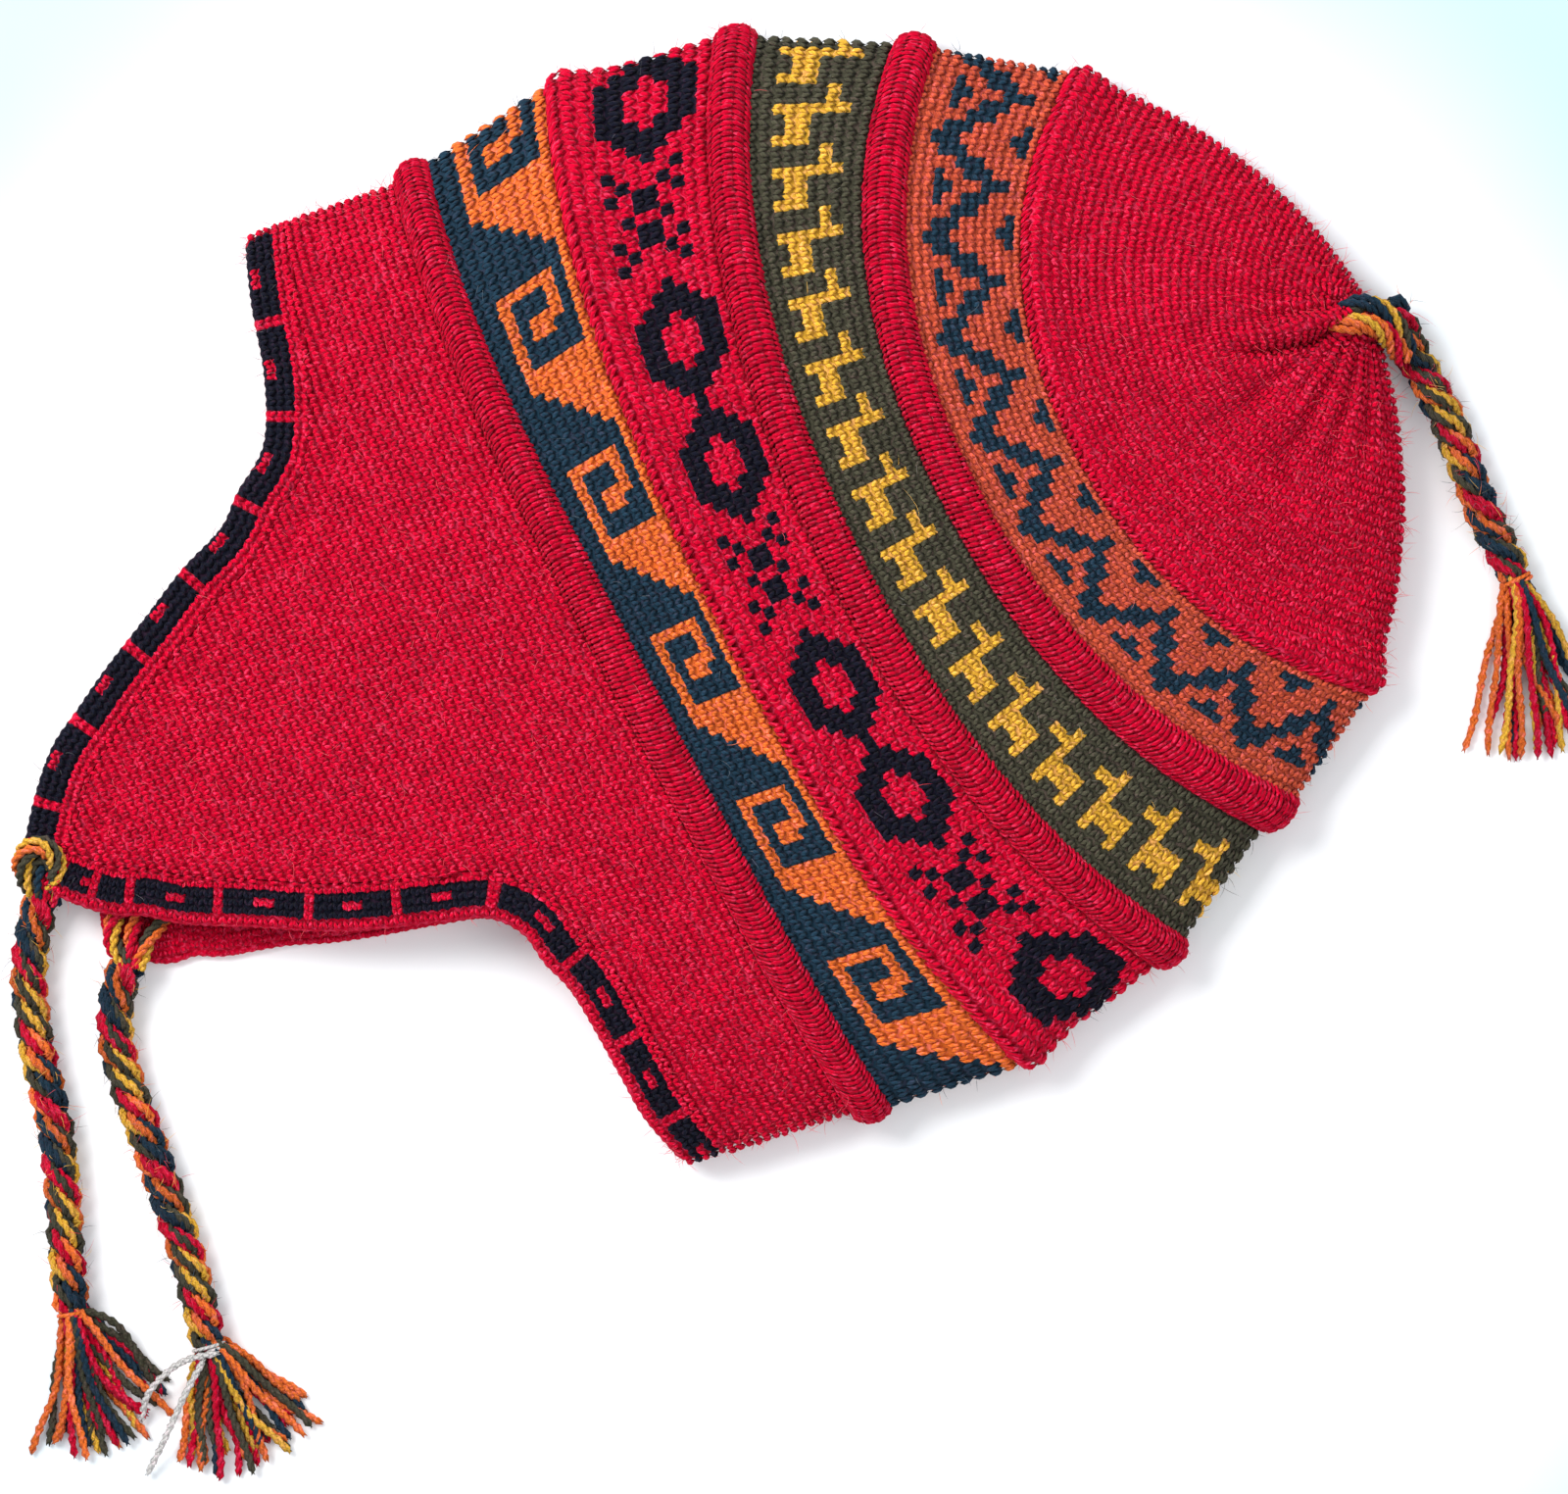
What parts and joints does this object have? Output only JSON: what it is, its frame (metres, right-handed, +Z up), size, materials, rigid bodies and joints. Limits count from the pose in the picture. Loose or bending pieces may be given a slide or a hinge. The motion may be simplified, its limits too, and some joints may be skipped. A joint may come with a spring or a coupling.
{
  "type": "chullo hat",
  "caption": "Knitted Andean hat with ear flaps, patterned bands, rope ties and a crown braid with tassels, lying flat on its side.",
  "frame": {"origin": "on the floor under the middle of the hat's box, its cords left out", "axes": "+Z up out of the side that the hat lies on, +X along the hat's axis from the ear flaps to the crown tip, +Y across it, away from the side that the ties trail to"},
  "size_m": [0.4025, 0.2705, 0.0292],
  "materials": {
    "edging": "soft knitted wool, black blocks between red bars",
    "ear_flap_skirt": "soft knitted wool, red",
    "first_ridge": "soft knitted wool, red",
    "wave_band": "soft knitted wool, teal with orange waves",
    "diamond_band": "soft knitted wool, red with black diamonds",
    "second_ridge": "soft knitted wool, red",
    "llama_band": "soft knitted wool, olive with yellow llamas",
    "third_ridge": "soft knitted wool, red",
    "zigzag_band": "soft knitted wool, rust with a teal zigzag",
    "crown_cap": "soft knitted wool, red",
    "upper_tie": "twisted wool rope of mixed yarns",
    "lower_tie": "twisted wool rope of mixed yarns",
    "crown_braid": "twisted wool rope of mixed yarns",
    "upper_tassel": "loose wool yarns",
    "lower_tassel": "loose wool yarns",
    "crown_tassel": "loose wool yarns"
  },
  "bodies": {
    "root": {"edging": "edging", "ear_flap_skirt": "ear_flap_skirt", "first_ridge": "first_ridge", "wave_band": "wave_band", "diamond_band": "diamond_band", "second_ridge": "second_ridge", "llama_band": "llama_band", "third_ridge": "third_ridge", "zigzag_band": "zigzag_band", "crown_cap": "crown_cap", "upper_tie": "upper_tie", "lower_tie": "lower_tie", "crown_braid": "crown_braid", "upper_tassel": "upper_tassel", "lower_tassel": "lower_tassel", "crown_tassel": "crown_tassel"}
  },
  "joints": []
}
